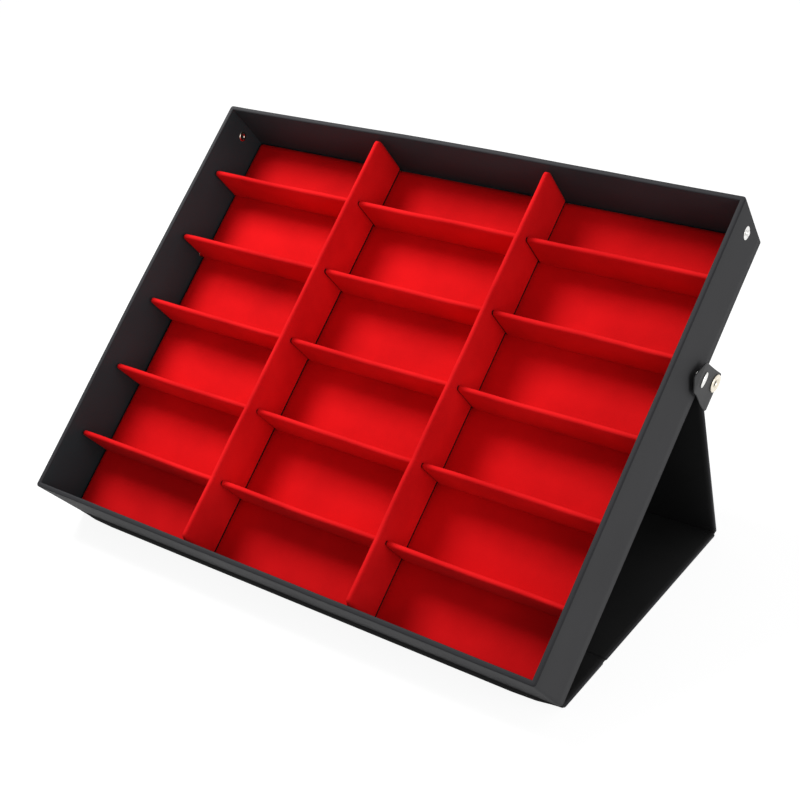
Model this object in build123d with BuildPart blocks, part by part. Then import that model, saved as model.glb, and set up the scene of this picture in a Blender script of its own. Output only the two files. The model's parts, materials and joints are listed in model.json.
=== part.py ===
"""Folding display case for eighteen pairs of sunglasses, standing on its own cover.

The shallow tray holds a velvet pad and a slotted egg-crate of dividers.  Its
cover is a chain of three panels, hinged along the front bottom edge: a spine as
tall as the tray, a base panel and a riser.  Folded under the tray they make an
easel.  Folded the other way they wrap round the front and close the top.
Millimetres, +Z up, origin under the middle of the footprint.
"""
import math
import os

from build123d import *

# Tray
CASE_WIDTH = 475.0
CASE_LENGTH = 372.0
CASE_DEPTH = 60.0
WALL = 4.0
BOTTOM_BOARD = 3.0
CORNER_ROUND = 3.6
RIM_BEVEL = 1.2

# Velvet pad and the divider grid
PAD_THICKNESS = 9.0
PAD_SIDE_GAP = 0.8
PAD_ROUND = 1.5
COLUMNS = 3
ROWS = 6
ROW_PITCH = 64.0
DIVIDER = 4.0
COLUMN_BELOW_RIM = 3.5
ROW_BELOW_RIM = 14.0
DIVIDER_END_GAP = 0.8
SLOT_CLEARANCE = 0.15
DIVIDER_CREST = 1.9

# Cover panels and their folds
RISER_SLOPE = 66.21
BASE_PANEL_LENGTH = 193.0
PANEL = 3.2
PANEL_EDGE = 0.8
COVER_GAP = 0.4
FOLD_DROP = 1.2
FOLD_ROLL = 1.4
FOLD_WEB = 1.0
FOLD_LIP = 0.6
FOLD_LIP_LENGTH = 14.0
FOLD_END_INSET = 1.0
RUNNING_GAP = 0.3

# Snap studs and their eyelets, four alike
STUD_FLANGE_RADIUS = 5.0
STUD_FLANGE = 0.6
STUD_HEAD_RADIUS = 2.2
STUD_HEAD = 1.6
STUD_HEAD_BEVEL = 0.7
STUD_SHANK_RADIUS = 1.2
EYELET_FLANGE_RADIUS = 4.2
EYELET_FLANGE = 0.45
EYELET_BARREL_RADIUS = 1.95
EYELET_END_GAP = 0.2
FASTENER_CLEARANCE = 0.05

# Straps
LEATHERETTE = 1.2
STRAP_WIDTH = 26.0
STRAP_FROM_COVER_END = 14.0
STRAP_TAIL = 9.0
STRAP_FOLD = 17.3
STRAP_SHOULDER = 34.0
STRAP_TIP = 43.0
STRAP_REACH = 28.0
STRAP_LEAN = 20.0
STRAP_LIFT = 12.0
ANCHOR_WIDTH = 24.0
ANCHOR_DROP = 9.0
ANCHOR_HOLD = 24.0
ANCHOR_CORNER = 4.0
RIVET_POST_RADIUS = 1.5
RIVET_HEAD_RADIUS = 7.0
RIVET_HEAD = 1.5
RIVET_BACK_SET = 0.1
CAP_RADIUS = 6.0
CAP_HEIGHT = 1.5
CAP_BEVEL = 0.9
SOCKET_RADIUS = 4.2
SOCKET = 0.7
SOCKET_SHANK_RADIUS = 1.9

# Cover chain, seen from the side as distances along it from the tray's fold
HALF_PANEL = PANEL / 2
SPINE_LENGTH = CASE_DEPTH + COVER_GAP + HALF_PANEL + FOLD_DROP
CHAIN_TO_REAR = SPINE_LENGTH + BASE_PANEL_LENGTH
FOLD_OUT = COVER_GAP + HALF_PANEL
RISER_LENGTH = CASE_LENGTH + FOLD_OUT - BASE_PANEL_LENGTH
PANEL_START = FOLD_ROLL + RUNNING_GAP

# The riser leans on the tray's bottom at its slope, and its top corner stops a running gap below it
riser_slope = math.radians(RISER_SLOPE)
riser_height = RISER_LENGTH * math.sin(riser_slope) + HALF_PANEL * math.cos(riser_slope)
tilt = math.asin((riser_height + RUNNING_GAP - FOLD_DROP) / CHAIN_TO_REAR)
riser_angle = riser_slope + tilt


def fold_clearance(bend):
    """Distance from a fold's axis at which a panel's end clears its neighbour, bent by this angle."""
    bend = max(bend, math.pi / 2)
    return (HALF_PANEL * (1 - math.cos(bend)) + RUNNING_GAP) / math.sin(bend)


# Planes: the tilted tray, the cover on the ground and the riser, each with x across the case
tray_y = (CASE_DEPTH * math.sin(tilt) - CASE_LENGTH * math.cos(tilt)) / 2
tray_z = HALF_PANEL + FOLD_OUT * math.sin(tilt) + FOLD_DROP * math.cos(tilt)
TRAY = Plane(origin=(0, tray_y, tray_z), x_dir=(1, 0, 0), z_dir=(0, -math.sin(tilt), math.cos(tilt)))
front_fold_y = TRAY.from_local_coords((0, -FOLD_OUT, -FOLD_DROP)).Y
COVER = Plane(origin=(0, front_fold_y, HALF_PANEL), x_dir=(1, 0, 0), z_dir=(0, 0, 1))
RISER = Plane(
    origin=(0, front_fold_y + CHAIN_TO_REAR, HALF_PANEL),
    x_dir=(1, 0, 0),
    z_dir=(0, -math.sin(riser_angle), math.cos(riser_angle)),
)
TRAY_UP = Axis(TRAY.origin, TRAY.z_dir)

# Heights above the tray's underside, and places across and along it
pad_top = BOTTOM_BOARD + PAD_THICKNESS
column_top = CASE_DEPTH - COLUMN_BELOW_RIM
row_top = CASE_DEPTH - ROW_BELOW_RIM
lap_height = (pad_top + row_top) / 2
inner_width = CASE_WIDTH - 2 * WALL
inner_length = CASE_LENGTH - 2 * WALL
column_places = [CASE_WIDTH * (k / COLUMNS - 0.5) for k in range(1, COLUMNS)]
row_places = [CASE_LENGTH / 2 + (ROWS / 2 - k) * ROW_PITCH for k in range(1, ROWS)]

# Strap rivet and the two studs that each strap reaches, on the side walls
rivet_along = RISER_LENGTH - STRAP_FROM_COVER_END
rivet_in_tray = TRAY.to_local_coords(RISER.from_local_coords((0, rivet_along, 0)))
lean = math.radians(STRAP_LEAN)
stand_stud = (rivet_in_tray.Y - STRAP_REACH * math.sin(lean), rivet_in_tray.Z + STRAP_REACH * math.cos(lean))
closure_stud = (CASE_LENGTH - STRAP_FROM_COVER_END, CASE_DEPTH + FOLD_OUT - STRAP_REACH)

SIDES = {"left": -1, "right": 1}


def side_view(plane, across=0.0):
    """The plane's own side view: x runs along its y, y along its z, at this distance across."""
    return Plane(origin=plane.from_local_coords((across, 0, 0)), x_dir=plane.y_dir, z_dir=plane.x_dir)


def wall_face(side, place, inside=False):
    """A plane on a side wall at (along, up), facing out of the case, or into it."""
    facing = -side if inside else side
    across = side * (CASE_WIDTH / 2 - (WALL if inside else 0))
    return Plane(origin=TRAY.from_local_coords((across, *place)), x_dir=TRAY.y_dir, z_dir=(facing, 0, 0))


def strap_plane(side):
    """The strap's plane: origin on the rivet's axis, y towards the stud, z out of the case."""
    origin = RISER.from_local_coords((side * CASE_WIDTH / 2, rivet_along, 0))
    towards = TRAY.z_dir * math.cos(lean) - TRAY.y_dir * math.sin(lean)
    outward = Vector(side, 0, 0)
    return Plane(origin=origin, x_dir=towards.cross(outward), z_dir=outward)


def flap_plane(side):
    """The flap's plane: origin on its fold, y to the tip, lifted a little off the wall."""
    strap = strap_plane(side)
    lift = math.radians(STRAP_LIFT)
    outward = strap.z_dir * math.cos(lift) - strap.y_dir * math.sin(lift)
    origin = strap.from_local_coords((0, STRAP_FOLD, strap_level + LEATHERETTE / 2))
    return Plane(origin=origin, x_dir=strap.x_dir, z_dir=outward)


# Plies beside the wall, from the inside out
anchor_level = COVER_GAP
strap_level = anchor_level + LEATHERETTE + RUNNING_GAP
rivet_head_level = strap_level + LEATHERETTE + RUNNING_GAP

finished = {}


def keep(name, piece):
    piece.part.label = name
    finished[name] = piece.part


def make_end_wall(name, start):
    """Front or back wall: full width, with rounded outer corners and a soft rim."""
    with BuildPart() as wall:
        with BuildSketch(TRAY):
            with Locations((0, start + WALL / 2)):
                Rectangle(CASE_WIDTH, WALL)
        extrude(amount=CASE_DEPTH)
        chamfer(wall.edges().group_by(TRAY_UP)[-1].filter_by(Axis.X), RIM_BEVEL)
        outer = wall.edges().filter_by(TRAY_UP).sort_by(Axis(TRAY.origin, TRAY.y_dir))
        corners = outer[:2] if start == 0 else outer[-2:]
        fillet(corners, min(CORNER_ROUND, 0.9 * WALL))
    keep(name, wall)


def make_side_wall(name, side):
    """Side wall between the end walls, bored for its two snap studs."""
    with BuildPart() as wall:
        with BuildSketch(TRAY):
            with Locations((side * (CASE_WIDTH - WALL) / 2, CASE_LENGTH / 2)):
                Rectangle(WALL, inner_length)
        extrude(amount=CASE_DEPTH)
        long_edges = wall.edges().group_by(TRAY_UP)[-1].filter_by(Axis(TRAY.origin, TRAY.y_dir))
        chamfer(long_edges, RIM_BEVEL)
        for place in (stand_stud, closure_stud):
            with BuildSketch(wall_face(side, place)):
                Circle(EYELET_BARREL_RADIUS + FASTENER_CLEARANCE)
            extrude(amount=-WALL, mode=Mode.SUBTRACT)
    keep(name, wall)


def make_bottom_and_pad():
    with BuildPart() as board:
        with BuildSketch(TRAY):
            with Locations((0, CASE_LENGTH / 2)):
                Rectangle(inner_width, inner_length)
        extrude(amount=BOTTOM_BOARD)
    keep("tray_bottom_board", board)

    with BuildPart() as pad:
        with BuildSketch(TRAY.offset(BOTTOM_BOARD)):
            with Locations((0, CASE_LENGTH / 2)):
                Rectangle(inner_width - 2 * PAD_SIDE_GAP, inner_length - 2 * PAD_SIDE_GAP)
        extrude(amount=PAD_THICKNESS)
        fillet(pad.edges().group_by(TRAY_UP)[-1], PAD_ROUND)
    keep("floor_pad", pad)


def make_column_divider(name, across):
    """Tall divider that runs front to back, slotted from below over each row divider."""
    length = inner_length - 2 * DIVIDER_END_GAP
    with BuildPart() as divider:
        with BuildSketch(side_view(TRAY, across)):
            with Locations((CASE_LENGTH / 2, (pad_top + column_top) / 2)):
                Rectangle(length, column_top - pad_top)
            slot_height = lap_height + SLOT_CLEARANCE - pad_top
            with Locations(*[(place, pad_top + slot_height / 2) for place in row_places]):
                Rectangle(DIVIDER + 2 * SLOT_CLEARANCE, slot_height, mode=Mode.SUBTRACT)
        extrude(amount=DIVIDER / 2, both=True)
        crest = divider.edges().group_by(TRAY_UP)[-1].filter_by(Axis(TRAY.origin, TRAY.y_dir))
        fillet(crest, min(DIVIDER_CREST, 0.475 * DIVIDER))
    keep(name, divider)


def make_row_divider(name, along):
    """Low divider across the case, slotted from above to take each column divider."""
    width = inner_width - 2 * DIVIDER_END_GAP
    face = Plane(origin=TRAY.from_local_coords((0, along, 0)), x_dir=(1, 0, 0), z_dir=-TRAY.y_dir)
    with BuildPart() as divider:
        with BuildSketch(face):
            with Locations((0, (pad_top + row_top) / 2)):
                Rectangle(width, row_top - pad_top)
            slot_depth = row_top - lap_height + SLOT_CLEARANCE
            with Locations(*[(place, row_top - slot_depth / 2) for place in column_places]):
                Rectangle(DIVIDER + 2 * SLOT_CLEARANCE, slot_depth, mode=Mode.SUBTRACT)
        extrude(amount=DIVIDER / 2, both=True)
        crest = divider.edges().group_by(TRAY_UP)[-1].filter_by(Axis.X)
        fillet(crest, min(DIVIDER_CREST, 0.475 * DIVIDER))
    keep(name, divider)


def make_panel(name, plane, start, end):
    """One board of the cover, between two distances along its plane."""
    with BuildPart() as panel:
        with BuildSketch(plane.offset(-HALF_PANEL)):
            with Locations((0, (start + end) / 2)):
                Rectangle(CASE_WIDTH, end - start)
        extrude(amount=PANEL)
        chamfer(panel.edges(), min(PANEL_EDGE, 0.4 * PANEL))
    keep(name, panel)


def make_front_fold():
    """Rolled leatherette along the tray's front edge, with a lip glued under its bottom."""
    length = CASE_WIDTH - 2 * FOLD_END_INSET
    with BuildPart() as fold:
        with BuildSketch(side_view(TRAY)):
            with Locations((-FOLD_OUT, -FOLD_DROP)):
                Circle(FOLD_ROLL)
            lip_start = -FOLD_OUT / 2
            with Locations(((lip_start + FOLD_LIP_LENGTH) / 2, -FOLD_LIP / 2)):
                Rectangle(FOLD_LIP_LENGTH - lip_start, FOLD_LIP)
        extrude(amount=length / 2, both=True)
    keep("fold_front", fold)


def make_panel_fold(name, plane, axis_at, neighbour_end):
    """Rolled leatherette on a panel's end, joined to it by a thin web."""
    length = CASE_WIDTH - 2 * FOLD_END_INSET
    with BuildPart() as fold:
        with BuildSketch(side_view(plane)):
            with Locations((axis_at, 0)):
                Circle(FOLD_ROLL)
            with Locations(((axis_at + neighbour_end) / 2, 0)):
                Rectangle(axis_at - neighbour_end, FOLD_WEB)
        extrude(amount=length / 2, both=True)
    keep(name, fold)


def make_cover():
    spine_end = SPINE_LENGTH - fold_clearance(math.pi / 2)
    base_end = CHAIN_TO_REAR - fold_clearance(riser_angle)
    make_front_fold()
    make_panel("spine_panel", COVER, PANEL_START, spine_end)
    make_panel_fold("fold_spine", COVER, SPINE_LENGTH, spine_end)
    make_panel("base_panel", COVER, SPINE_LENGTH + PANEL_START, base_end)
    make_panel_fold("fold_rear", COVER, CHAIN_TO_REAR, base_end)
    make_panel("riser_panel", RISER, PANEL_START, RISER_LENGTH)


def make_studs_and_eyelets():
    """Four ball studs outside the side walls, and the hollow eyelets that hold them inside."""
    sites = [(side, place) for side in SIDES.values() for place in (stand_stud, closure_stud)]
    with BuildPart() as studs:
        for side, place in sites:
            face = wall_face(side, place)
            with BuildSketch(face):
                Circle(STUD_FLANGE_RADIUS)
            extrude(amount=STUD_FLANGE)
            with BuildSketch(face.offset(STUD_FLANGE)):
                Circle(STUD_HEAD_RADIUS)
            extrude(amount=STUD_HEAD)
            with BuildSketch(face):
                Circle(STUD_SHANK_RADIUS)
            extrude(amount=EYELET_END_GAP - WALL)
            outward = Axis(face.origin, face.z_dir)
            chamfer(studs.edges().group_by(outward)[-1], STUD_HEAD_BEVEL)
    keep("snap_studs", studs)

    barrel = WALL - EYELET_END_GAP
    with BuildPart() as eyelets:
        for side, place in sites:
            face = wall_face(side, place, inside=True)
            with BuildSketch(face):
                Circle(EYELET_FLANGE_RADIUS)
                Circle(STUD_SHANK_RADIUS + FASTENER_CLEARANCE, mode=Mode.SUBTRACT)
            extrude(amount=EYELET_FLANGE)
            with BuildSketch(face):
                Circle(EYELET_BARREL_RADIUS)
                Circle(STUD_SHANK_RADIUS + FASTENER_CLEARANCE, mode=Mode.SUBTRACT)
            extrude(amount=-barrel)
    keep("snap_eyelets", eyelets)


def make_anchor(name, side):
    """Ply glued to the riser's outer face, with a tongue turned over its side edge to hold the strap."""
    flange = Plane(
        origin=RISER.from_local_coords((side * (CASE_WIDTH / 2 + anchor_level), rivet_along, 0)),
        x_dir=RISER.y_dir * side,
        z_dir=(side, 0, 0),
    )
    ply_top = HALF_PANEL + LEATHERETTE
    with BuildPart() as anchor:
        with BuildSketch(flange) as tongue:
            with Locations((0, (ply_top - ANCHOR_DROP) / 2)):
                Rectangle(ANCHOR_WIDTH, ply_top + ANCHOR_DROP)
            fillet(tongue.vertices().group_by(Axis.Y)[0], ANCHOR_CORNER)
            Circle(RIVET_POST_RADIUS + FASTENER_CLEARANCE, mode=Mode.SUBTRACT)
        extrude(amount=LEATHERETTE)
        with BuildSketch(RISER.offset(HALF_PANEL)):
            reach_in = ANCHOR_HOLD + anchor_level + LEATHERETTE
            with Locations((side * (CASE_WIDTH / 2 - ANCHOR_HOLD + reach_in / 2), rivet_along)):
                Rectangle(reach_in, ANCHOR_WIDTH)
        extrude(amount=LEATHERETTE)
    keep(name, anchor)


def make_rivets():
    """The two rivets that the straps turn on, with broad flat heads."""
    with BuildPart() as rivets:
        for side in SIDES.values():
            strap = strap_plane(side)
            with BuildSketch(strap.offset(anchor_level + RIVET_BACK_SET)):
                Circle(RIVET_POST_RADIUS)
            extrude(amount=rivet_head_level - anchor_level - RIVET_BACK_SET)
            with BuildSketch(strap.offset(rivet_head_level)):
                Circle(RIVET_HEAD_RADIUS)
            extrude(amount=RIVET_HEAD)
            outward = Axis(strap.origin, strap.z_dir)
            chamfer(rivets.edges().group_by(outward)[-1], CAP_BEVEL)
    keep("strap_rivets", rivets)


def make_strap(side_name, side):
    """Strap in two plies' length: a base that turns on the rivet and a flap that lifts off the stud."""
    strap = strap_plane(side)
    base_end = STRAP_FOLD - LEATHERETTE / 2 - RUNNING_GAP
    with BuildPart() as base:
        with BuildSketch(strap.offset(strap_level)):
            with Locations((0, (base_end - STRAP_TAIL) / 2)):
                Rectangle(STRAP_WIDTH, base_end + STRAP_TAIL)
            Circle(RIVET_POST_RADIUS + RUNNING_GAP, mode=Mode.SUBTRACT)
        extrude(amount=LEATHERETTE)
    keep(f"strap_base_{side_name}", base)

    flap_frame = flap_plane(side)
    lift = math.radians(STRAP_LIFT)
    half = STRAP_WIDTH / 2
    shoulder = STRAP_SHOULDER - STRAP_FOLD
    tip = STRAP_TIP - STRAP_FOLD
    snap_at = (STRAP_REACH - STRAP_FOLD) / math.cos(lift)
    with BuildPart() as flap:
        with BuildSketch(flap_frame):
            with BuildLine():
                Polyline((-half, 0), (half, 0), (half, shoulder), (0, tip), (-half, shoulder), close=True)
            make_face()
            with Locations((0, snap_at)):
                Circle(SOCKET_SHANK_RADIUS + FASTENER_CLEARANCE, mode=Mode.SUBTRACT)
        extrude(amount=LEATHERETTE / 2, both=True)
        with BuildSketch(side_view(flap_frame)):
            Circle(LEATHERETTE / 2)
        extrude(amount=half, both=True)
    keep(f"strap_flap_{side_name}", flap)

    with BuildPart() as cap:
        with BuildSketch(flap_frame.offset(LEATHERETTE / 2)):
            with Locations((0, snap_at)):
                Circle(CAP_RADIUS)
        extrude(amount=CAP_HEIGHT)
        chamfer(cap.edges().group_by(Axis(flap_frame.origin, flap_frame.z_dir))[-1], CAP_BEVEL)
        with BuildSketch(flap_frame.offset(LEATHERETTE / 2)):
            with Locations((0, snap_at)):
                Circle(SOCKET_SHANK_RADIUS)
        extrude(amount=-LEATHERETTE)
        with BuildSketch(flap_frame.offset(-LEATHERETTE / 2)):
            with Locations((0, snap_at)):
                Circle(SOCKET_RADIUS)
        extrude(amount=-SOCKET)
    keep(f"snap_cap_{side_name}", cap)


make_bottom_and_pad()
make_end_wall("tray_front_wall", 0)
make_end_wall("tray_back_wall", CASE_LENGTH - WALL)
for side_name, side in SIDES.items():
    make_side_wall(f"tray_{side_name}_wall", side)
for name, across in zip(("left", "right"), column_places):
    make_column_divider(f"column_divider_{name}", across)
for number, along in enumerate(row_places, start=1):
    make_row_divider(f"row_divider_{number}", along)
make_cover()
make_studs_and_eyelets()
make_rivets()
for side_name, side in SIDES.items():
    make_anchor(f"strap_anchor_{side_name}", side)
    make_strap(side_name, side)

os.makedirs("parts", exist_ok=True)
for name, part in finished.items():
    export_step(part, f"parts/{name}.step")

print("tray origin", tuple(round(value, 3) for value in TRAY.origin))
print("front fold y", round(front_fold_y, 3), "rear fold y", round(front_fold_y + CHAIN_TO_REAR, 3))
print("tilt", round(math.degrees(tilt), 4), "riser angle", round(math.degrees(riser_angle), 4))
print("rivet", tuple(round(value, 3) for value in strap_plane(1).origin))
print("stand stud", stand_stud, "closure stud", closure_stud)
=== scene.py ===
"""Looks of the folding sunglasses case: leatherette boards, velvet lining and nickel snaps.

Metres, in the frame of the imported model.  The tray's own axes are u across the
case, v from its front edge to its back and w up from its underside.
"""
import json
import math

import bmesh
import bpy
from mathutils import Matrix, Vector, noise


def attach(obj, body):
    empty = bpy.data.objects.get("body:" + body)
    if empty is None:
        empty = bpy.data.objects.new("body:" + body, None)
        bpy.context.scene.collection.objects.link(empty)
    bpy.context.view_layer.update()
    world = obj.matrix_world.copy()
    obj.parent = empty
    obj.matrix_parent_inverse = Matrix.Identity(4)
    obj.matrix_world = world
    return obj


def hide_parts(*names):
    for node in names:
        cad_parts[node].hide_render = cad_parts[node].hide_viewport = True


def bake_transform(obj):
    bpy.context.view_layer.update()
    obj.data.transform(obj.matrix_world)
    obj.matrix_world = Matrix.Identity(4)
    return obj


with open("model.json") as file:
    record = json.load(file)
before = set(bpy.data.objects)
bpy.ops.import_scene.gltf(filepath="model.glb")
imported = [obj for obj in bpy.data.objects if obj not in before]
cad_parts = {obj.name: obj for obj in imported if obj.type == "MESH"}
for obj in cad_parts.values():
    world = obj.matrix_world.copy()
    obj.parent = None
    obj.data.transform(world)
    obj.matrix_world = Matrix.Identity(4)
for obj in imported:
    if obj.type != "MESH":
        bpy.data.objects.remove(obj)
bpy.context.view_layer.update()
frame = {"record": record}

# Sizes of the part, in metres
CASE_WIDTH = 0.475
CASE_LENGTH = 0.372
CASE_DEPTH = 0.060
WALL = 0.004
PANEL = 0.0032
COVER_GAP = 0.0004
FOLD_DROP = 0.0012
UNDERSIDE = 0.0028
PAD_BOTTOM = 0.003
PAD_TOP = 0.012
PAD_SIDE_GAP = 0.0008
DIVIDER = 0.004
COLUMN_TOP = 0.0565
ROW_TOP = 0.046
ROW_PITCH = 0.064
END_GAP = 0.0008
LEATHERETTE = 0.0012
STRAP_WIDTH = 0.026
STRAP_LEAN = math.radians(20)
STRAP_REACH = 0.028
RIVET_FROM_END = 0.014

# Edges and wear of the made object, and where painted shade goes on the dividers, in metres
RIM_ROUND = 0.0012
WALL_FOOT = 0.0004
OUTER_ROUND = 0.0026
INNER_ROUND = 0.0003
BACK_BOW = 0.0018
LEFT_BOW = 0.0014
WALL_RIPPLE = 0.00018
BOARD_EDGE = 0.0009
PAD_EDGE = 0.0022
PAD_SWELL = 0.0011
PAD_SLACK = 0.0004
CLOTH = 0.0003
COLUMN_WAVE = 0.00045
COLUMN_LEAN = 0.00055
COLUMN_CORNER = 0.0045
CREST_DIP = 0.0004
CREST_DIP_REACH = 0.004
ROW_WAVE = 0.0006
ROW_LEAN = 0.0008
ROW_CORNER = 0.0035
# The slot span and the foot height below mark painted shade: across the low dividers' slots and along the
# foot of each tall divider's right face.
SLOT_PAINTED_SHADE = (0.0001, 0.0013)
SLOT_SINK = 0.0008
FOOT_PAINTED_SHADE = 0.0017
RISER_DRAW = 0.0108
RISER_RETURN = 0.0038
RISER_BOW = 0.0030
STRIP_REACH = 0.0045
STRIP_HALF = 0.0011
STRIP_END_DRAW = 0.0026

# The strap as it lies: how far it reaches each way from its rivet, and how it stands off the wall
STRAP_TAIL = -0.0065
STRAP_SHOULDER = 0.0365
STRAP_TIP = 0.0465
STRAP_TIP_HALF = 0.0012
STRAP_ASIDE = -0.0045
STRAP_SKEW = 0.1
STRAP_OFF_WALL = 0.0034
STRAP_RISE = 0.0020
STRAP_TWIST = 0.13

# Directions and places, from the frame's joints
joints = {joint["name"]: joint for joint in frame["record"]["behaviour"]["joints"]}
front_fold = Vector(joints["cover_fold"]["pos_m"])
spine_fold = Vector(joints["spine_fold"]["pos_m"])
rear_fold = Vector(joints["riser_fold"]["pos_m"])
rivet_place = Vector(joints["strap_turn_right"]["pos_m"])
tilt = math.radians(270 - joints["cover_fold"]["range_deg"][1])
riser_reach = Vector((0, rivet_place.y, rivet_place.z)) - rear_fold
riser_angle = math.atan2(riser_reach.z, riser_reach.y)

ACROSS = Vector((1, 0, 0))
ALONG = Vector((0, math.cos(tilt), math.sin(tilt)))
UP = Vector((0, -math.sin(tilt), math.cos(tilt)))
fold_out = COVER_GAP + PANEL / 2
tray_origin = front_fold + ALONG * fold_out + UP * FOLD_DROP
riser_along = Vector((0, math.cos(riser_angle), math.sin(riser_angle)))
riser_normal = Vector((0, -math.sin(riser_angle), math.cos(riser_angle)))
riser_length = riser_reach.length + RIVET_FROM_END

column_places = [-CASE_WIDTH / 6, CASE_WIDTH / 6]
row_places = [CASE_LENGTH / 2 + k * ROW_PITCH for k in (2, 1, 0, -1, -2)]
inner_half = CASE_WIDTH / 2 - WALL
SIDES = {"left": -1, "right": 1}


def tray_point(u, v, w):
    """A point of the tray's own axes in the frame."""
    return tray_origin + ACROSS * u + ALONG * v + UP * w


def frame_matrix(origin, x_axis, y_axis, z_axis):
    """The matrix that takes a piece from its own axes to a place in the frame."""
    columns = (x_axis, y_axis, z_axis)
    rows = [[axis[k] for axis in columns] + [origin[k]] for k in range(3)]
    return Matrix(rows + [[0, 0, 0, 1]])


# Materials


class Shader:
    """A node material with one principled shader, and short helpers to wire it."""

    def __init__(self, name, **sockets):
        self.material = bpy.data.materials.new(name)
        self.material.use_nodes = True
        self.tree = self.material.node_tree
        self.surface = self.tree.nodes["Principled BSDF"]
        for socket, value in sockets.items():
            self.surface.inputs[socket.replace("_", " ")].default_value = value

    def add(self, kind, **values):
        node = self.tree.nodes.new(kind)
        for key, value in values.items():
            if key in node.inputs:
                node.inputs[key].default_value = value
            else:
                setattr(node, key, value)
        return node

    def link(self, output, target):
        self.tree.links.new(output, target)

    def place(self, scale=(1, 1, 1)):
        """The piece's own coordinates, stretched."""
        coordinates = self.add("ShaderNodeTexCoord")
        mapping = self.add("ShaderNodeMapping")
        mapping.inputs["Scale"].default_value = scale
        self.link(coordinates.outputs["Object"], mapping.inputs["Vector"])
        return mapping.outputs["Vector"]

    def noise(self, vector, scale, detail=3.0, roughness=0.5):
        node = self.add("ShaderNodeTexNoise", Scale=scale, Detail=detail, Roughness=roughness)
        self.link(vector, node.inputs["Vector"])
        return node.outputs["Fac"]

    def ramp(self, factor, *stops):
        node = self.add("ShaderNodeValToRGB")
        elements = node.color_ramp.elements
        while len(elements) < len(stops):
            elements.new(0.5)
        for element, (position, color) in zip(elements, stops):
            element.position = position
            element.color = color
        self.link(factor, node.inputs["Fac"])
        return node.outputs["Color"]

    def bump(self, height, strength, distance, under=None):
        node = self.add("ShaderNodeBump", Strength=strength, Distance=distance)
        self.link(height, node.inputs["Height"])
        if under is not None:
            self.link(under, node.inputs["Normal"])
        return node.outputs["Normal"]


def grey(level):
    return (level, level, level, 1.0)


def leatherette(name, level, roughness=0.52, tint=(1.0, 1.0, 1.04), gloss_level=0.3):
    """Fine-grained black leatherette, a little uneven in tone and gloss."""
    shader = Shader(name, Metallic=0.0, Specular_IOR_Level=gloss_level)
    place = shader.place()
    grain = shader.add("ShaderNodeTexVoronoi", Scale=1150.0, Randomness=1.0)
    shader.link(place, grain.inputs["Vector"])
    cells = grain.outputs["Distance"]
    pores = shader.noise(place, 2600.0, 2.0)
    drape = shader.noise(place, 14.0, 3.0)
    low, high = level * 0.9, level * 1.12
    tone = shader.ramp(
        drape,
        (0.3, tuple(low * part for part in tint) + (1,)),
        (0.7, tuple(high * part for part in tint) + (1,)),
    )
    shader.link(tone, shader.surface.inputs["Base Color"])
    gloss = shader.ramp(drape, (0.25, grey(roughness - 0.05)), (0.75, grey(roughness + 0.07)))
    shader.link(gloss, shader.surface.inputs["Roughness"])
    fine = shader.bump(pores, 0.12, 0.00004)
    grained = shader.bump(cells, 0.22, 0.00008, fine)
    shader.link(shader.bump(drape, 0.25, 0.0012, grained), shader.surface.inputs["Normal"])
    return shader.material


def velvet(name, dark, bright, sheen):
    """Short-pile red velvet: nap that lies in soft patches, with a sheen at its edges."""
    shader = Shader(name, Metallic=0.0, Roughness=0.85, Specular_IOR_Level=0.08)
    shader.surface.inputs["Sheen Weight"].default_value = sheen
    shader.surface.inputs["Sheen Roughness"].default_value = 0.4
    shader.surface.inputs["Sheen Tint"].default_value = (1.0, 0.04, 0.04, 1)
    place = shader.place()
    nap = shader.noise(place, 17.0, 4.0, 0.5)
    pile = shader.noise(place, 2100.0, 2.0, 0.6)
    blend = shader.add("ShaderNodeMix", data_type="FLOAT")
    blend.inputs[0].default_value = 0.3
    shader.link(nap, blend.inputs[2])
    shader.link(pile, blend.inputs[3])
    tone = shader.ramp(blend.outputs[0], (0.34, dark), (0.62, bright))
    shader.link(tone, shader.surface.inputs["Base Color"])
    fuzz = shader.bump(pile, 0.35, 0.00025)
    shader.link(shader.bump(nap, 0.35, 0.0012, fuzz), shader.surface.inputs["Normal"])
    return shader.material


def nickel(name, tint, roughness):
    """Bright nickel plate with faint handling marks."""
    shader = Shader(name, Metallic=1.0)
    place = shader.place()
    marks = shader.noise(place, 420.0, 4.0)
    shader.link(
        shader.ramp(marks, (0.35, grey(roughness * 0.7)), (0.7, grey(roughness * 1.5))),
        shader.surface.inputs["Roughness"],
    )
    shader.link(
        shader.ramp(marks, (0.3, tint), (0.7, tuple(0.92 * c for c in tint[:3]) + (1,))),
        shader.surface.inputs["Base Color"],
    )
    shader.link(shader.bump(marks, 0.06, 0.00005), shader.surface.inputs["Normal"])
    return shader.material


wrap_outside = leatherette("tray_leatherette", 0.066, 0.6, gloss_level=0.03)
# Darker copy of the leatherette for the lining: painted shade inside the tray, tinted cyan against the red
# light that the velvet throws on it.
lining_painted_shade = leatherette("tray_lining_painted_shade", 0.026, 0.65, (0.95, 1.4, 1.55), 0.2)
# Copy of the leatherette for the tray's rims and the boards' side edges: a painted highlight line, lighter
# than the cover.
rim_painted_highlight = leatherette("rim_leatherette_painted_highlight", 0.026, 0.55, (1.0, 1.0, 1.1), 0.1)
# Darker copy of the leatherette for the cover boards, the underside and the folds: painted shade for the
# parts under and behind the tray.
cover_painted_shade = leatherette("cover_leatherette_painted_shade", 0.011, 0.6, (1.0, 1.0, 1.02), 0.15)
wrap_strap = leatherette("strap_leatherette", 0.034, 0.55)
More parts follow.
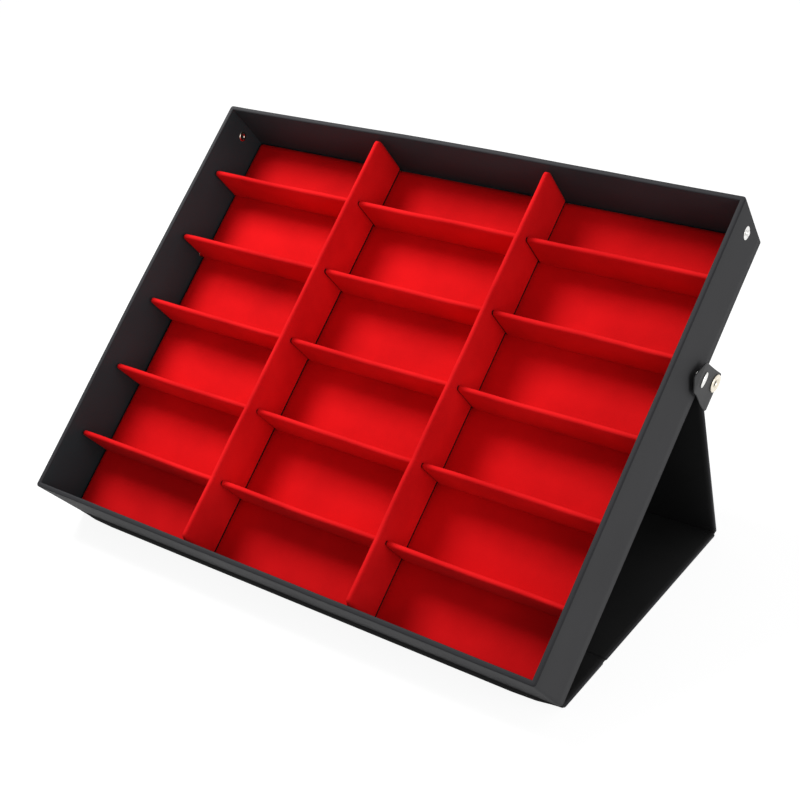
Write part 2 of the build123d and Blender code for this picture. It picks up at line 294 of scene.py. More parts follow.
# Near-black reddish leatherette in the low dividers' slots and along the tall dividers' feet: painted
# shade.
painted_slot_and_foot_shade = leatherette("divider_painted_slot_and_foot_shade", 0.006, 0.8, (1.4, 0.8, 0.8), 0.1)
velvet_floor = velvet("velvet_pad", (0.54, 0.002, 0.004, 1), (0.68, 0.004, 0.006, 1), 0.12)
# Lighter copy of the pad's velvet for the dividers: painted light.
velvet_wall_painted_light = velvet("velvet_divider_painted_light", (0.56, 0.003, 0.005, 1), (0.76, 0.008, 0.010, 1), 0.25)
plate = nickel("nickel_plate", (0.86, 0.85, 0.83, 1), 0.16)
plate_warm = nickel("nickel_rim", (0.86, 0.79, 0.66, 1), 0.2)

# Mesh helpers


def object_from(name, vertices, faces, materials):
    """A smooth-shaded piece in the frame's own coordinates, its faces turned outwards."""
    mesh = bpy.data.meshes.new(name)
    mesh.from_pydata([tuple(v) for v in vertices], [], faces)
    mesh.validate()
    builder = bmesh.new()
    builder.from_mesh(mesh)
    bmesh.ops.recalc_face_normals(builder, faces=builder.faces)
    builder.to_mesh(mesh)
    builder.free()
    for face in mesh.polygons:
        face.use_smooth = True
    for material in materials:
        mesh.materials.append(material)
    piece = bpy.data.objects.new(name, mesh)
    bpy.context.scene.collection.objects.link(piece)
    return piece


def settle(piece, slot, body, *nodes):
    """Hides the parts that a piece stands for and attaches it to the body it moves with; slot, what it is
    made of, is not used.
    """
    if nodes:
        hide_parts(*nodes)
    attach(piece, body)
    return piece


def loft(rings, closed_rings=True, cap_ends=True):
    """Vertices and faces through rings of points that have the same count."""
    count = len(rings[0])
    vertices = [point for ring in rings for point in ring]
    faces = []
    for r in range(len(rings) - 1):
        for k in range(count if closed_rings else count - 1):
            a, b = r * count + k, r * count + (k + 1) % count
            faces.append((a, b, b + count, a + count))
    if cap_ends:
        faces.append(tuple(range(count))[::-1])
        faces.append(tuple(range((len(rings) - 1) * count, len(rings) * count)))
    return vertices, faces


def revolve(profile, steps=48):
    """Rings about z through (radius, height) points; a zero radius closes to one point."""
    vertices, faces, starts = [], [], []
    for radius, height in profile:
        starts.append(len(vertices))
        if radius == 0:
            vertices.append((0, 0, height))
            continue
        for k in range(steps):
            turn = 2 * math.pi * k / steps
            vertices.append((radius * math.cos(turn), radius * math.sin(turn), height))
    for (low, start), (high, end) in zip(zip(profile, starts), zip(profile[1:], starts[1:])):
        for k in range(steps):
            n = (k + 1) % steps
            if low[0] == 0:
                faces.append((start, end + n, end + k))
            elif high[0] == 0:
                faces.append((start + k, start + n, end))
            else:
                faces.append((start + k, start + n, end + n, end + k))
    return vertices, faces


def rounded_section(width, height, radius, steps=4):
    """Points round a rectangle with rounded corners, centred."""
    points = []
    corners = [(1, 1, 0), (-1, 1, 90), (-1, -1, 180), (1, -1, 270)]
    for sx, sy, start in corners:
        for k in range(steps + 1):
            turn = math.radians(start + 90 * k / steps)
            x = sx * (width / 2 - radius) + radius * math.cos(turn)
            y = sy * (height / 2 - radius) + radius * math.sin(turn)
            points.append((x, y))
    return points


def ease(low, high, value):
    """Zero below low, one above high, and smooth between them."""
    share = min(max((value - low) / (high - low), 0.0), 1.0)
    return share * share * (3 - 2 * share)


# Tray


WALL_STEPS = 6
RIM_STEPS = 6
CORNER_STEPS = 8
SIDE_STEPS = 26


def tray_bow(u, v):
    """How far the wrapped walls bow out of true: most at mid-span of the back and left walls."""
    back = max(0.0, v / CASE_LENGTH - 0.5) * 2
    left = max(0.0, -u / (CASE_WIDTH / 2))
    across = math.cos(math.pi * u / CASE_WIDTH) ** 2
    along = math.sin(math.pi * min(max(v / CASE_LENGTH, 0), 1)) ** 2
    return Vector((-LEFT_BOW * left ** 6 * along, BACK_BOW * back ** 6 * across, 0))


def wall_section():
    """Round the wall as (inset, height) points: up the outside, over the rim and down the lining."""
    shoulder = CASE_DEPTH - RIM_ROUND
    section = []
    for k in range(WALL_STEPS + 1):
        section.append((0.0, WALL_FOOT + (shoulder - WALL_FOOT) * k / WALL_STEPS))
    for k in range(1, RIM_STEPS + 1):
        turn = math.pi / 2 * k / RIM_STEPS
        section.append((RIM_ROUND * (1 - math.cos(turn)), shoulder + RIM_ROUND * math.sin(turn)))
    for k in range(RIM_STEPS + 1):
        turn = math.pi / 2 * k / RIM_STEPS
        inset = WALL - RIM_ROUND + RIM_ROUND * math.sin(turn)
        section.append((inset, shoulder + RIM_ROUND * math.cos(turn)))
    for k in range(1, WALL_STEPS + 1):
        section.append((WALL, shoulder * (1 - k / WALL_STEPS)))
    section.append((WALL_FOOT, 0.0))
    return section


def wall_stations():
    """Places round the tray: the round's centre, the way out, and the corner where there is one."""
    half, length = CASE_WIDTH / 2, CASE_LENGTH
    corners = [(half, 0, -90), (half, length, 0), (-half, length, 90), (-half, 0, 180)]
    centres = []
    for x, y, _ in corners:
        inwards = OUTER_ROUND if y == 0 else -OUTER_ROUND
        centres.append((x - math.copysign(OUTER_ROUND, x), y + inwards))
    stations = []
    for index, (x, y, start) in enumerate(corners):
        cx, cy = centres[index]
        nx, ny = centres[(index + 1) % 4]
        for k in range(CORNER_STEPS + 1):
            turn = math.radians(start + 90 * k / CORNER_STEPS)
            stations.append((cx, cy, math.cos(turn), math.sin(turn), (x, y)))
        turn = math.radians(start + 90)
        for k in range(1, SIDE_STEPS):
            u, v = cx + (nx - cx) * k / SIDE_STEPS, cy + (ny - cy) * k / SIDE_STEPS
            stations.append((u, v, math.cos(turn), math.sin(turn), None))
    return stations


def wall_ring(station, section):
    """The section stood at one station; inside, the corners are almost sharp."""
    cx, cy, out_x, out_y, corner = station
    ring = []
    for inset, height in section:
        reach = OUTER_ROUND - inset
        u, v = cx + out_x * reach, cy + out_y * reach
        if corner and reach < INNER_ROUND:
            depth = INNER_ROUND - reach
            u = cx + out_x * INNER_ROUND - math.copysign(depth, corner[0])
            v = cy + out_y * INNER_ROUND + (depth if corner[1] == 0 else -depth)
        bow = tray_bow(u, v) * (0.35 + 0.65 * height / CASE_DEPTH)
        ripple = WALL_RIPPLE * noise.noise(Vector((u * 18, v * 18, height * 25)))
        ring.append(tray_point(u + bow.x + out_x * ripple, v + bow.y + out_y * ripple, height))
    return ring


def make_tray_shell():
    """The four wrapped walls as one swept section: outside, soft rim, lining and foot."""
    section = wall_section()
    rings = [wall_ring(station, section) for station in wall_stations()]
    count, total = len(section), len(rings)
    vertices = [point for ring in rings for point in ring]
    faces = []
    for r in range(total):
        here, there = r * count, (r + 1) % total * count
        for k in range(count):
            n = (k + 1) % count
            faces.append((here + k, there + k, there + n, here + n))
    shell = object_from("tray_shell", vertices, faces, [wrap_outside, lining_painted_shade, rim_painted_highlight])
    # The lining faces take the darker copy of the leatherette: painted shade inside the tray.
    outside, lining, rim = 0, 1, 2
    # The rim faces take the rim copy of the leatherette: a painted highlight line.
    rim_end = WALL_STEPS + 2 * RIM_STEPS + 1
    for index, face in enumerate(shell.data.polygons):
        k = index % count
        if k < WALL_STEPS:
            face.material_index = outside
        else:
            face.material_index = rim if k < rim_end else lining
    walls = ["tray_front_wall", "tray_back_wall", "tray_left_wall", "tray_right_wall"]
    return settle(shell, "leatherette", "tray", *walls)


make_tray_shell()


# Boards and the velvet lining


def make_board(name, origin, along, normal, half, span, thickness, shape):
    """A wrapped board with soft edges, moved a little out of true by shape(x, y).

    Its side edges, from end cap to first full section, take the rim copy of the leatherette, lighter than
    the cover: a painted highlight line.
    """
    start, end = span
    middle = (start + end) / 2
    section = rounded_section(end - start, thickness, BOARD_EDGE, 3)
    steps = 30
    ends = [half - BOARD_EDGE * share for share in (0, 1, 5, 10)]
    places = [half * (2 * k / steps - 1) for k in range(1, steps)]
    rings = []
    for x in sorted(places + ends + [-end for end in ends]):
        pull = BOARD_EDGE * 0.7 if abs(x) == half else 0.0
        ring = []
        for y, z in section:
            squeeze_y = y - math.copysign(min(abs(y), pull), y)
            squeeze_z = z - math.copysign(min(abs(z), pull), z)
            aside, up = shape(x, middle + y)
            place = origin + ACROSS * (x + aside) + along * (middle + squeeze_y)
            ring.append(place + normal * (squeeze_z + up))
        rings.append(ring)
    vertices, faces = loft(rings)
    board = object_from(name, vertices, faces, [cover_painted_shade, rim_painted_highlight])
    sides = len(section)
    for index in list(range(sides)) + list(range(len(faces) - 2 - sides, len(faces))):
        board.data.polygons[index].material_index = 1
    return board


def flat(x, y):
    """The shape of a board that lies true."""
    return (0.0, 0.0)


def make_bottom():
    """The tray's underside: the board wrapped in leatherette, a little inside the walls."""
    board = make_board(
        "tray_underside", tray_point(0, 0, PANEL / 2), ALONG, UP, inner_half,
        (WALL, CASE_LENGTH - WALL), UNDERSIDE, flat,
    )
    return settle(board, "leatherette", "tray", "tray_bottom_board")


PAD_HALF = inner_half - PAD_SIDE_GAP
PAD_FRONT = WALL + PAD_SIDE_GAP
PAD_BACK = CASE_LENGTH - WALL - PAD_SIDE_GAP
PAD_COLUMNS = 186
PAD_ROWS = 146


def compartment_rise(u, v):
    """How the pad swells: full in each compartment's middle and pressed down under the dividers."""
    lines_u = [-inner_half] + column_places + [inner_half]
    lines_v = [WALL] + sorted(row_places) + [CASE_LENGTH - WALL]
    near_u = min(abs(u - line) for line in lines_u)
    near_v = min(abs(v - line) for line in lines_v)
    swell_u = min(near_u / 0.035, 1.0)
    swell_v = min(near_v / 0.022, 1.0)
    smooth = (swell_u * (2 - swell_u)) * (swell_v * (2 - swell_v))
    slack = noise.noise(Vector((u * 22, v * 30, 3.1)))
    return PAD_SWELL * smooth + PAD_SLACK * slack * smooth


def pad_place(i, j):
    """Where a point of the pad's grid lies, seen from above."""
    u = -PAD_HALF + 2 * PAD_HALF * i / PAD_COLUMNS
    return u, PAD_FRONT + (PAD_BACK - PAD_FRONT) * j / PAD_ROWS


def pad_top(i, j):
    """A point on the pad's top, which rounds over at its edge."""
    u, v = pad_place(i, j)
    edge = min(PAD_HALF - abs(u), v - PAD_FRONT, PAD_BACK - v)
    rounding = max(0.0, PAD_EDGE - edge)
    drop = PAD_EDGE - math.sqrt(max(0.0, PAD_EDGE ** 2 - rounding ** 2))
    return tray_point(u, v, PAD_TOP - 0.0006 - drop + compartment_rise(u, v))


def make_pad():
    """Foam pad wrapped in velvet, swollen in every compartment, with straight sides to its foot."""
    across = PAD_COLUMNS + 1
    vertices = [pad_top(i, j) for j in range(PAD_ROWS + 1) for i in range(across)]
    faces = []
    for j in range(PAD_ROWS):
        for i in range(PAD_COLUMNS):
            a = j * across + i
            faces.append((a, a + 1, a + 1 + across, a + across))
    rim = list(range(across))
    rim += [j * across + PAD_COLUMNS for j in range(1, PAD_ROWS + 1)]
    rim += [PAD_ROWS * across + i for i in range(PAD_COLUMNS - 1, -1, -1)]
    rim += [j * across for j in range(PAD_ROWS - 1, 0, -1)]
    base = len(vertices)
    for index in rim:
        j, i = divmod(index, across)
        vertices.append(tray_point(*pad_place(i, j), PAD_BOTTOM + 0.0002))
    for k in range(len(rim)):
        n = (k + 1) % len(rim)
        faces.append((rim[k], rim[n], base + n, base + k))
    faces.append(tuple(range(base, base + len(rim))))
    pad = object_from("velvet_floor_pad", vertices, faces, [velvet_floor])
    settle(pad, "velvet_pad", "tray", "floor_pad")


def divider_profile(bottom, top, steps=7):
    """Half-round crest on straight sides, as (out, up) points; the first side point above the bottom ends
    the band of painted shade along the foot.
    """
    radius = (DIVIDER + CLOTH) / 2
    heights = [bottom, bottom + FOOT_PAINTED_SHADE, bottom + (top - bottom) * 0.35, bottom + (top - bottom) * 0.7]
    points = [(radius, height) for height in heights]
    for k in range(steps + 1):
        turn = math.pi * k / steps
        points.append((radius * math.cos(turn), top - radius + radius * math.sin(turn)))
    return points + [(-radius, height) for height in reversed(heights)]


def end_drop(from_end, corner):
    """How far a divider's crest has come down near its rounded end."""
    return corner - math.sqrt(corner ** 2 - (corner - min(from_end, corner)) ** 2)


def end_slim(from_end, least, taper=0.002):
    """The share of a divider's thickness that is left near its end."""
    return 1.0 if from_end > taper else least + (1 - least) * math.sqrt(from_end / taper)


def make_column(name, across, seed):
    """Tall velvet divider, front to back, with an uneven crest and painted shade along the foot of its
    right face.
    """
    low, high = WALL + END_GAP, CASE_LENGTH - WALL - END_GAP
    stations = 180
    rings = []
    for k in range(stations + 1):
        v = low + (high - low) * k / stations
        from_end = min(v - low, high - v)
        wave = COLUMN_WAVE * noise.noise(Vector((seed, v * 24, 0)))
        lean = COLUMN_LEAN * noise.noise(Vector((seed + 9, v * 17, 0)))
        dips = [math.exp(-(((v - row) / CREST_DIP_REACH) ** 2)) for row in row_places]
        fall = end_drop(from_end, COLUMN_CORNER) + CREST_DIP * sum(dips) - wave
        slim = end_slim(from_end, 0.55)
        ring = []
        for x, w in divider_profile(PAD_TOP + 0.0005, COLUMN_TOP):
            share = (w - PAD_TOP) / (COLUMN_TOP - PAD_TOP)
            fuzz = 0.00012 * noise.noise(Vector((seed + x * 300, v * 60, w * 60)))
            ring.append(tray_point(across + x * slim + lean * share + fuzz, v, w - fall * share))
        rings.append(ring)
    vertices, faces = loft(rings)
    column = object_from(f"velvet_{name}", vertices, faces, [velvet_wall_painted_light, painted_slot_and_foot_shade])
    count = len(rings[0])
    # Painted shade: the first face of each band, low on the right face, along the foot.
    for index in range(0, stations * count, count):
        column.data.polygons[index].material_index = 1
    settle(column, "velvet", "tray", name)


def row_stations(low, high, slots):
    """Places along a low divider, with exact ones at the edges of the painted shade in the slots beside the
    tall dividers.
    """
    steps, step = 260, 0.0003
    places = [low + (high - low) * k / steps for k in range(steps + 1)]
    for start, end in slots:
        places = [u for u in places if not start - 0.0008 < u < end + 0.0006]
        places += [start - step, start, end, end + step]
    return sorted(places)


def make_row(name, along, seed):
    """Low velvet divider across the case, sunk a little where it passes a tall one, with painted shade in
    that slot.
    """
    low, high = -inner_half + END_GAP, inner_half - END_GAP
    faces_at = [place + DIVIDER / 2 for place in column_places]
    slots = [tuple(face + offset for offset in SLOT_PAINTED_SHADE) for face in faces_at]
    places = row_stations(low, high, slots)
    in_slot = [any(start <= u <= end for start, end in slots) for u in places]
    rings = []
    for u, inside in zip(places, in_slot):
        from_end = min(u - low, high - u)
        wave = ROW_WAVE * noise.noise(Vector((seed, u * 21, 4.0)))
        lean = ROW_LEAN * noise.noise(Vector((seed + 5, u * 15, 8.0)))
        fall = end_drop(from_end, ROW_CORNER) + (SLOT_SINK if inside else 0.0) - wave
        slim = end_slim(from_end, 0.5) * (0.8 if inside else 1.0)
        ring = []
        for y, w in divider_profile(PAD_TOP - 0.0008, ROW_TOP):
            share = (w - PAD_TOP) / (ROW_TOP - PAD_TOP)
            fuzz = 0.00014 * noise.noise(Vector((u * 55, seed + y * 300, w * 60)))
            ring.append(tray_point(u, along + y * slim + lean * share + fuzz, w - fall * share))
        rings.append(ring)
    vertices, faces = loft(rings)
    row = object_from(f"velvet_{name}", vertices, faces, [velvet_wall_painted_light, painted_slot_and_foot_shade])
    count = len(rings[0])
    # Painted shade: every band that touches a slot.
    for index, (here, there) in enumerate(zip(in_slot, in_slot[1:])):
        if here or there:
            for face in row.data.polygons[index * count:(index + 1) * count]:
                face.material_index = 1
    settle(row, "velvet", "tray", name)


make_bottom()
make_pad()
for seed, (side_name, across) in enumerate(zip(("left", "right"), column_places)):
    make_column(f"column_divider_{side_name}", across, 3.7 * seed + 1.3)
for number, along in enumerate(row_places, start=1):
    make_row(f"row_divider_{number}", along, 2.9 * number)


# The cover: three boards and the leatherette that bends between them


def fold_clearance(bend):
    """How far a board stops short of its fold, to clear the next board at the fold's limit."""
    bend = max(bend, math.pi / 2)
    return (PANEL / 2 * (1 - math.cos(bend)) + 0.0003) / math.sin(bend)


def riser_shape(x, y):
    """The riser's right edge draws in and bows forward a little, as a worn board does."""
    right = max(0.0, x / (CASE_WIDTH / 2)) ** 4
    share = min(max(y / riser_length, 0), 1)
    draw = RISER_DRAW * ease(0.0, 0.62, share) - RISER_RETURN * ease(0.65, 1.0, share)
    return (-draw * right, RISER_BOW * right * math.sin(math.pi * share))


def make_cover():
    """The spine and the base lie on the ground, and the riser leans up under the tray."""
    half, spine_start, panel_start = CASE_WIDTH / 2, 0.0045, 0.0017
    y_axis, z_axis = Vector((0, 1, 0)), Vector((0, 0, 1))
    spine_end = (spine_fold - front_fold).length - fold_clearance(math.pi / 2)
    base_end = (rear_fold - spine_fold).length - fold_clearance(riser_angle)
    boards = [
        ("spine", front_fold, y_axis, z_axis, (spine_start, spine_end), flat),
        ("base", spine_fold, y_axis, z_axis, (panel_start, base_end), flat),
        ("riser", rear_fold, riser_along, riser_normal, (panel_start, riser_length), riser_shape),
    ]
    for body, origin, along, normal, span, shape in boards:
        board = make_board(f"cover_{body}", origin, along, normal, half, span, PANEL, shape)
        settle(board, "leatherette", body, f"{body}_panel")


def make_fold(name, middle, before, after, node):
    """A leatherette strip from one board to the next, thinner and drawn in at its two ends."""
    half_width = CASE_WIDTH / 2 - 0.0004
    inside = before + after
    inside = inside.normalized() if inside.length > 0.1 else Vector((0, 0, 0))
    steps, stations = 12, 24
    places = [half_width * (2 * k / stations - 1) for k in range(1, stations)]
    ends = [half_width * share for share in (1.0, 0.985, 0.965, 0.94)]
    rings = []
    for x in sorted([-end for end in ends] + places + ends):
        full = ease(-0.002, 0.030, half_width - abs(x))
        drawn = middle + inside * (STRIP_END_DRAW * (1 - full))
        upper, lower = [], []
        for j in range(steps + 1):
            share = 2 * j / steps - 1
            along = (before if share < 0 else after) * (abs(share) * STRIP_REACH)
            tangent = ((after * (1 + share) - before * (1 - share)) / 2).normalized()
            normal = Vector((0, -tangent.z, tangent.y)) * (STRIP_HALF * (0.4 + 0.6 * full))
            upper.append(drawn + ACROSS * x + along + normal)
            lower.append(drawn + ACROSS * x + along - normal)
        rings.append(upper + lower[::-1])
    vertices, faces = loft(rings)
    strip = object_from(name, vertices, faces, [cover_painted_shade])
    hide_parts(node)
    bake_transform(strip)


make_cover()
forward, back = Vector((0, 1, 0)), Vector((0, -1, 0))
make_fold("fold_strip_front", front_fold, ALONG, forward, "fold_front")
make_fold("fold_strip_spine", spine_fold, back, forward, "fold_spine")
make_fold("fold_strip_rear", rear_fold, back, riser_along, "fold_rear")


# Snaps and straps; the profiles are (radius, height) points of turned pieces


def stud_sites():
    """Where a side wall is pierced, as (v, w): for the stand and for the closed case."""
    up = UP * math.cos(STRAP_LEAN) - ALONG * math.sin(STRAP_LEAN)
    stand = Vector((0, rivet_place.y, rivet_place.z)) + up * STRAP_REACH
    offset = stand - tray_origin
    closure = (CASE_LENGTH - RIVET_FROM_END, CASE_DEPTH + fold_out - STRAP_REACH)
    return [(offset.dot(ALONG), offset.dot(UP)), closure]


def lay_on_wall(points, side, u, v, w, facing):
    """Places a turned piece on a side wall, its axis pointing out of the case or into it."""
    normal = ACROSS * (side * facing)
    matrix = frame_matrix(tray_point(u, v, w), ALONG, normal.cross(ALONG), normal)
    return [matrix @ Vector(point) for point in points]


STUD_PROFILE = [
    (0.0, 0.0), (0.0046, 0.0), (0.0050, 0.0002), (0.0050, 0.00045), (0.0047, 0.00062), (0.0041, 0.00060),
    (0.0036, 0.00042), (0.0030, 0.00042), (0.0024, 0.00062), (0.0019, 0.0008), (0.00185, 0.0011),
    (0.0021, 0.0014), (0.0022, 0.0017), (0.0020, 0.0020), (0.0014, 0.00218), (0.0, 0.0022),
]
EYELET_PROFILE = [
    (0.0013, -0.0030), (0.0014, 0.0), (0.0017, 0.0003), (0.0022, 0.00046), (0.0030, 0.00050),
    (0.0037, 0.00044), (0.0041, 0.00026), (0.0042, 0.0), (0.0034, -0.0001), (0.00195, -0.0001),
    (0.00195, -0.0030), (0.0013, -0.0030),
]
DOME_PROFILE = [
    (0.0, 0.0), (0.0054, 0.0), (0.0059, 0.0002), (0.0060, 0.0006), (0.0057, 0.0010), (0.0050, 0.0013),
    (0.0038, 0.00145), (0.0020, 0.00150), (0.0, 0.0015),
]
SOCKET_PROFILE = [
    (0.0022, 0.0), (0.0022, 0.0006), (0.0026, 0.0007), (0.0034, 0.0007), (0.0040, 0.0005), (0.0042, 0.0001),
    (0.0042, 0.0), (0.0022, 0.0),
]
RIVET_PROFILE = [
    (0.0026, -0.0030), (0.0026, -0.0002), (0.0062, 0.0), (0.0069, 0.0003), (0.0070, 0.0008),
    (0.0066, 0.0012), (0.0058, 0.0014), (0.0046, 0.0013), (0.0034, 0.0010), (0.0026, 0.0004),
    (0.0023, -0.0004), (0.0023, -0.0030), (0.0026, -0.0030),
]


def make_wall_snaps(name, node, profile, facing, across, material):
    """Four alike turned pieces on the side walls, two on each, facing out of the case or into it."""
    vertices, faces = [], []
    for side in SIDES.values():
        for v, w in stud_sites():
            points, ring_faces = revolve(profile)
            start = len(vertices)
            vertices += lay_on_wall(points, side, side * across, v, w, facing)
            faces += [tuple(start + k for k in face) for face in ring_faces]
    piece = object_from(name, vertices, faces, [material])
    return settle(piece, "snap_metal", "tray", node)


def strap_matrix(side):
    """The strap's own axes at rest: y from the rivet to the stud, z out of the case."""
    towards = UP * math.cos(STRAP_LEAN) - ALONG * math.sin(STRAP_LEAN)
    outward = ACROSS * side
    origin = Vector((side * CASE_WIDTH / 2, rivet_place.y, rivet_place.z))
    return frame_matrix(origin, towards.cross(outward), towards, outward)


def strap_middle(y):
    """The worn strap runs a little askew over its two fasteners."""
    return STRAP_ASIDE + STRAP_SKEW * y


def strap_level_at(x, y):
    """The middle of the strap's thickness above the wall: it lifts to its tip and twists outwards."""
    level = STRAP_OFF_WALL + STRAP_RISE * ease(0.004, 0.040, y)
    return level + STRAP_TWIST * (x - strap_middle(y))


def strap_half_width(y):
    """Full between tail and shoulder, then in to the blunt tip; the tail's corners are eased."""
    half = STRAP_WIDTH / 2
    if y > STRAP_SHOULDER:
        share = (y - STRAP_SHOULDER) / (STRAP_TIP - STRAP_SHOULDER)
        return half * (1 - share) + STRAP_TIP_HALF * share
    if y < STRAP_TAIL + 0.002:
        return half - 0.0008 * (1 - (y - STRAP_TAIL) / 0.002)
    return half


def make_strap(side_name, side):
    """One pointed leatherette strap, held by its rivet and lifting off the stud."""
    matrix = strap_matrix(side)
    steps = 60
    rings = []
    for k in range(steps + 1):
        y = STRAP_TAIL + (STRAP_TIP - STRAP_TAIL) * k / steps
        thickness = LEATHERETTE * (0.6 if k in (0, steps) else 1.0)
        edge = min(0.00045, thickness * 0.4)
        section = rounded_section(2 * strap_half_width(y), thickness, edge, 3)
        lower_edge = 1.26 - 0.5 * ease(STRAP_TAIL, STRAP_SHOULDER, y)
        ring = []
        for x, z in section:
            place = strap_middle(y) + x * (lower_edge if x < 0 else 1.0)
            ring.append(matrix @ Vector((side * place, y, strap_level_at(place, y) + z)))
        rings.append(ring)
    vertices, faces = loft(rings)
    strap = object_from(f"strap_{side_name}_leatherette", vertices, faces, [wrap_strap])
    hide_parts(f"strap_base_{side_name}", f"strap_flap_{side_name}")
    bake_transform(strap)


def make_cap(side_name, side):
    """The snap's two halves: a narrow bright cap outside the strap and a socket under it."""
    matrix = fastener_matrix(side, STRAP_REACH)
    shift = LEATHERETTE / 2
    narrowing = 0.5
    points, faces = revolve(DOME_PROFILE)
    vertices = [matrix @ Vector((x, narrowing * y, z + shift)) for x, y, z in points]
    points, socket_faces = revolve(SOCKET_PROFILE)
    start = len(vertices)
    vertices += [matrix @ Vector((x, y, -shift - z)) for x, y, z in points]
    faces += [tuple(start + k for k in face) for face in socket_faces]
    cap = object_from(f"snap_{side_name}_cap", vertices, faces, [plate])
    settle(cap, "snap_metal", f"flap_{side_name}", f"snap_cap_{side_name}")


def fastener_matrix(side, y):
    """Sits a turned piece square on the strap, over the line from the rivet to the stud."""
    matrix = strap_matrix(side)
    step = 0.001
    middle = Vector((0, y, strap_level_at(0, y)))
    ahead = Vector((0, y + step, strap_level_at(0, y + step))) - middle
    beside = Vector((side * step, y, strap_level_at(step, y))) - middle
    x_axis, y_axis = beside.normalized() * side, ahead.normalized()
    z_axis = x_axis.cross(y_axis).normalized()
    return matrix @ frame_matrix(middle, x_axis, z_axis.cross(x_axis), z_axis)


def make_rivet_heads():
    """Broad hollow rivets that the straps turn on."""
    vertices, faces = [], []
    for side in SIDES.values():
        matrix = fastener_matrix(side, 0.0)
        points, ring_faces = revolve(RIVET_PROFILE)
        start = len(vertices)
        vertices += [matrix @ Vector((x, y, z + LEATHERETTE / 2)) for x, y, z in points]
        faces += [tuple(start + k for k in face) for face in ring_faces]
    piece = object_from("strap_rivet_heads", vertices, faces, [plate_warm])
    settle(piece, "snap_metal", "riser", "strap_rivets")


def anchor_path():
    """The ply's way over the riser's side edge, as (u, n, half width) points with its rounded end."""
    half, top = 0.0095, PANEL / 2 + LEATHERETTE / 2
    level = CASE_WIDTH / 2 + 0.0004 + LEATHERETTE / 2
    bend = 0.0012
    path = [(CASE_WIDTH / 2 - inwards, top, half) for inwards in (0.024, 0.012)]
    path.append((level - bend, top, half))
    for k in range(1, 5):
        turn = math.pi / 2 * k / 4
        path.append((level - bend + bend * math.sin(turn), top - bend + bend * math.cos(turn), half))
    path += [(level, top - bend - 0.002 * k, half) for k in (1, 2)]
    tongue = [(-0.005, 0.0), (-0.0068, 0.0006), (-0.0081, 0.0018), (-0.009, 0.004)]
    return path + [(level, n, half - narrower) for n, narrower in tongue]


def make_anchor(side_name, side):
    """Leatherette ply on the riser's outer face that turns over its side edge."""
    towards_ground = 0.0025
    origin = rear_fold + riser_along * (riser_length - RIVET_FROM_END - towards_ground)
    path = anchor_path()
    rings = []
    for index, (u, n, half) in enumerate(path):
        before = path[max(index - 1, 0)]
        after = path[min(index + 1, len(path) - 1)]
        heading = Vector((after[0] - before[0], after[1] - before[1])).normalized()
        ring = []
        for y, z in rounded_section(2 * half, LEATHERETTE, 0.0004, 3):
            place = origin + ACROSS * (side * (u - heading.y * z)) + riser_along * y
            ring.append(place + riser_normal * (n + heading.x * z))
        rings.append(ring)
    vertices, faces = loft(rings)
    anchor = object_from(f"strap_{side_name}_anchor", vertices, faces, [wrap_strap])
    settle(anchor, "leatherette_strap", "riser", f"strap_anchor_{side_name}")


make_wall_snaps("studs_outside", "snap_studs", STUD_PROFILE, 1, CASE_WIDTH / 2, plate)
make_wall_snaps("eyelets_inside", "snap_eyelets", EYELET_PROFILE, -1, CASE_WIDTH / 2 - WALL, plate_warm)
make_rivet_heads()
for side_name, side in SIDES.items():
    make_strap(side_name, side)
    make_cap(side_name, side)
    make_anchor(side_name, side)


# Floor, lights and camera

FLOOR_HALF = 3.0
FLOOR_TONE = grey(0.3)
FLOOR_GLOW = 0.9
FLOOR_VEIL = 0.22
WORLD_LIGHT = 0.38
WHITE = grey(1.0)


def seen_directly(tree):
    """One where a ray comes from the camera, a mirror or clear stuff, and zero elsewhere."""
    rays = tree.nodes.new("ShaderNodeLightPath")
    total = rays.outputs["Is Camera Ray"]
    for kind in ("Is Glossy Ray", "Is Transmission Ray"):
        join = tree.nodes.new("ShaderNodeMath")
        join.operation = "MAXIMUM"
        tree.links.new(total, join.inputs[0])
        tree.links.new(rays.outputs[kind], join.inputs[1])
        total = join.outputs[0]
    return total


def mix_by_ray(tree, lighting, shown, output):
    """Lights the object with one shader and shows the other where the surface itself is seen."""
    mix = tree.nodes.new("ShaderNodeMixShader")
    tree.links.new(seen_directly(tree), mix.inputs["Fac"])
    tree.links.new(lighting, mix.inputs[1])
    tree.links.new(shown, mix.inputs[2])
    tree.links.new(mix.outputs["Shader"], tree.nodes[output].inputs["Surface"])


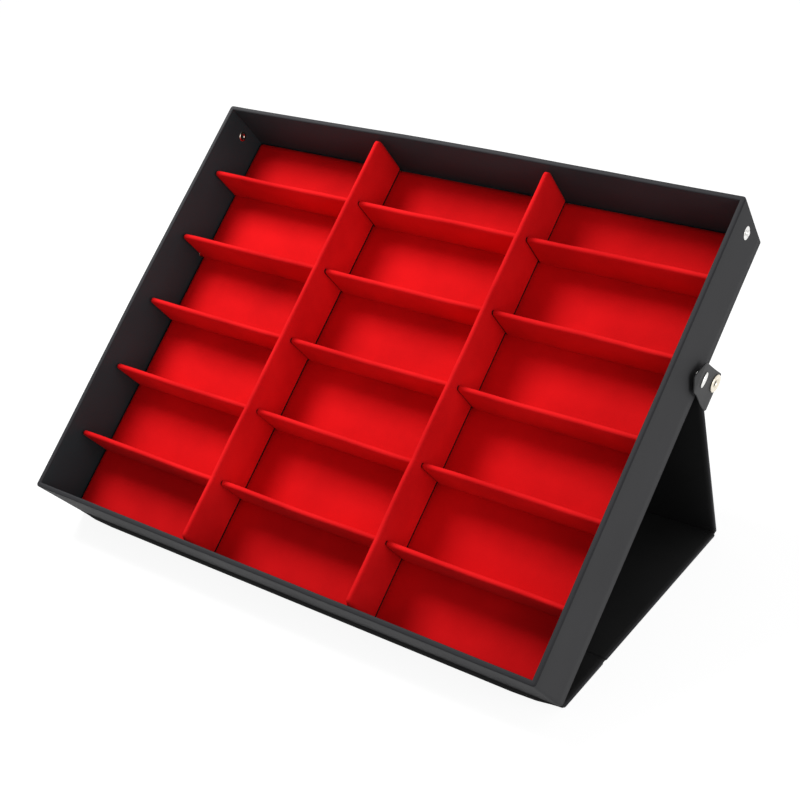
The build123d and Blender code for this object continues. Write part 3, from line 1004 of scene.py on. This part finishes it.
def make_floor():
    """A pale floor that shows white, with a faint trace of the object's shadow."""
    signs = [(-1, -1), (1, -1), (1, 1), (-1, 1)]
    corners = [Vector((x * FLOOR_HALF, y * FLOOR_HALF, 0)) for x, y in signs]
    floor = object_from("floor", corners, [(0, 1, 2, 3)], [])
    shader = Shader("pale_floor", Base_Color=FLOOR_TONE, Roughness=0.9)
    glow = shader.add("ShaderNodeEmission", Color=WHITE, Strength=FLOOR_GLOW)
    veil = shader.add("ShaderNodeBsdfDiffuse", Color=grey(FLOOR_VEIL))
    shown = shader.add("ShaderNodeAddShader")
    shader.link(glow.outputs["Emission"], shown.inputs[0])
    shader.link(veil.outputs["BSDF"], shown.inputs[1])
    lighting = shader.surface.outputs["BSDF"]
    mix_by_ray(shader.tree, lighting, shown.outputs["Shader"], "Material Output")
    floor.data.materials.append(shader.material)


def make_world():
    """Even white light, dimmer than the white that shows behind the object."""
    world = bpy.data.worlds.new("studio")
    bpy.context.scene.world = world
    world.use_nodes = True
    tree = world.node_tree
    light, white = tree.nodes["Background"], tree.nodes.new("ShaderNodeBackground")
    for background, strength in ((light, WORLD_LIGHT), (white, 1.0)):
        background.inputs["Color"].default_value = WHITE
        background.inputs["Strength"].default_value = strength
    mix_by_ray(tree, light.outputs["Background"], white.outputs["Background"], "World Output")


def make_lamp(name, place, target, size, power):
    """A square area lamp turned to its target; power is in watts."""
    lamp = bpy.data.lights.new(name, "AREA")
    lamp.shape = "SQUARE"
    lamp.size = size
    lamp.energy = power
    lamp_object = bpy.data.objects.new(name, lamp)
    bpy.context.scene.collection.objects.link(lamp_object)
    lamp_object.location = place
    heading = Vector(target) - Vector(place)
    lamp_object.rotation_euler = heading.to_track_quat("-Z", "Y").to_euler()


def make_camera():
    """The photograph's view: place and heading fitted to the tray's corners."""
    camera = bpy.data.cameras.new("camera")
    camera.sensor_width = 36.0
    camera.lens = 60.126
    camera.shift_x = 0.0015
    camera.shift_y = 0.1305
    camera_object = bpy.data.objects.new("camera", camera)
    bpy.context.scene.collection.objects.link(camera_object)
    right = Vector((0.817215, 0.574988, -0.039347))
    down = Vector((0.283421, -0.460385, -0.84126))
    heading = Vector((-0.501829, 0.676338, -0.539197))
    place = Vector((0.56637, -0.7429, 0.61979))
    camera_object.matrix_world = frame_matrix(place, right, -down, -heading)
    bpy.context.scene.camera = camera_object


make_floor()
make_world()
make_lamp("key", place=(-0.72, -0.14, 1.36), target=(0, 0, 0.15), size=0.6, power=22)
make_lamp("fill", place=(1.65, -0.6, 0.7), target=(0.1, 0, 0.15), size=1.0, power=10)
make_camera()
bpy.context.scene.view_settings.view_transform = "Standard"
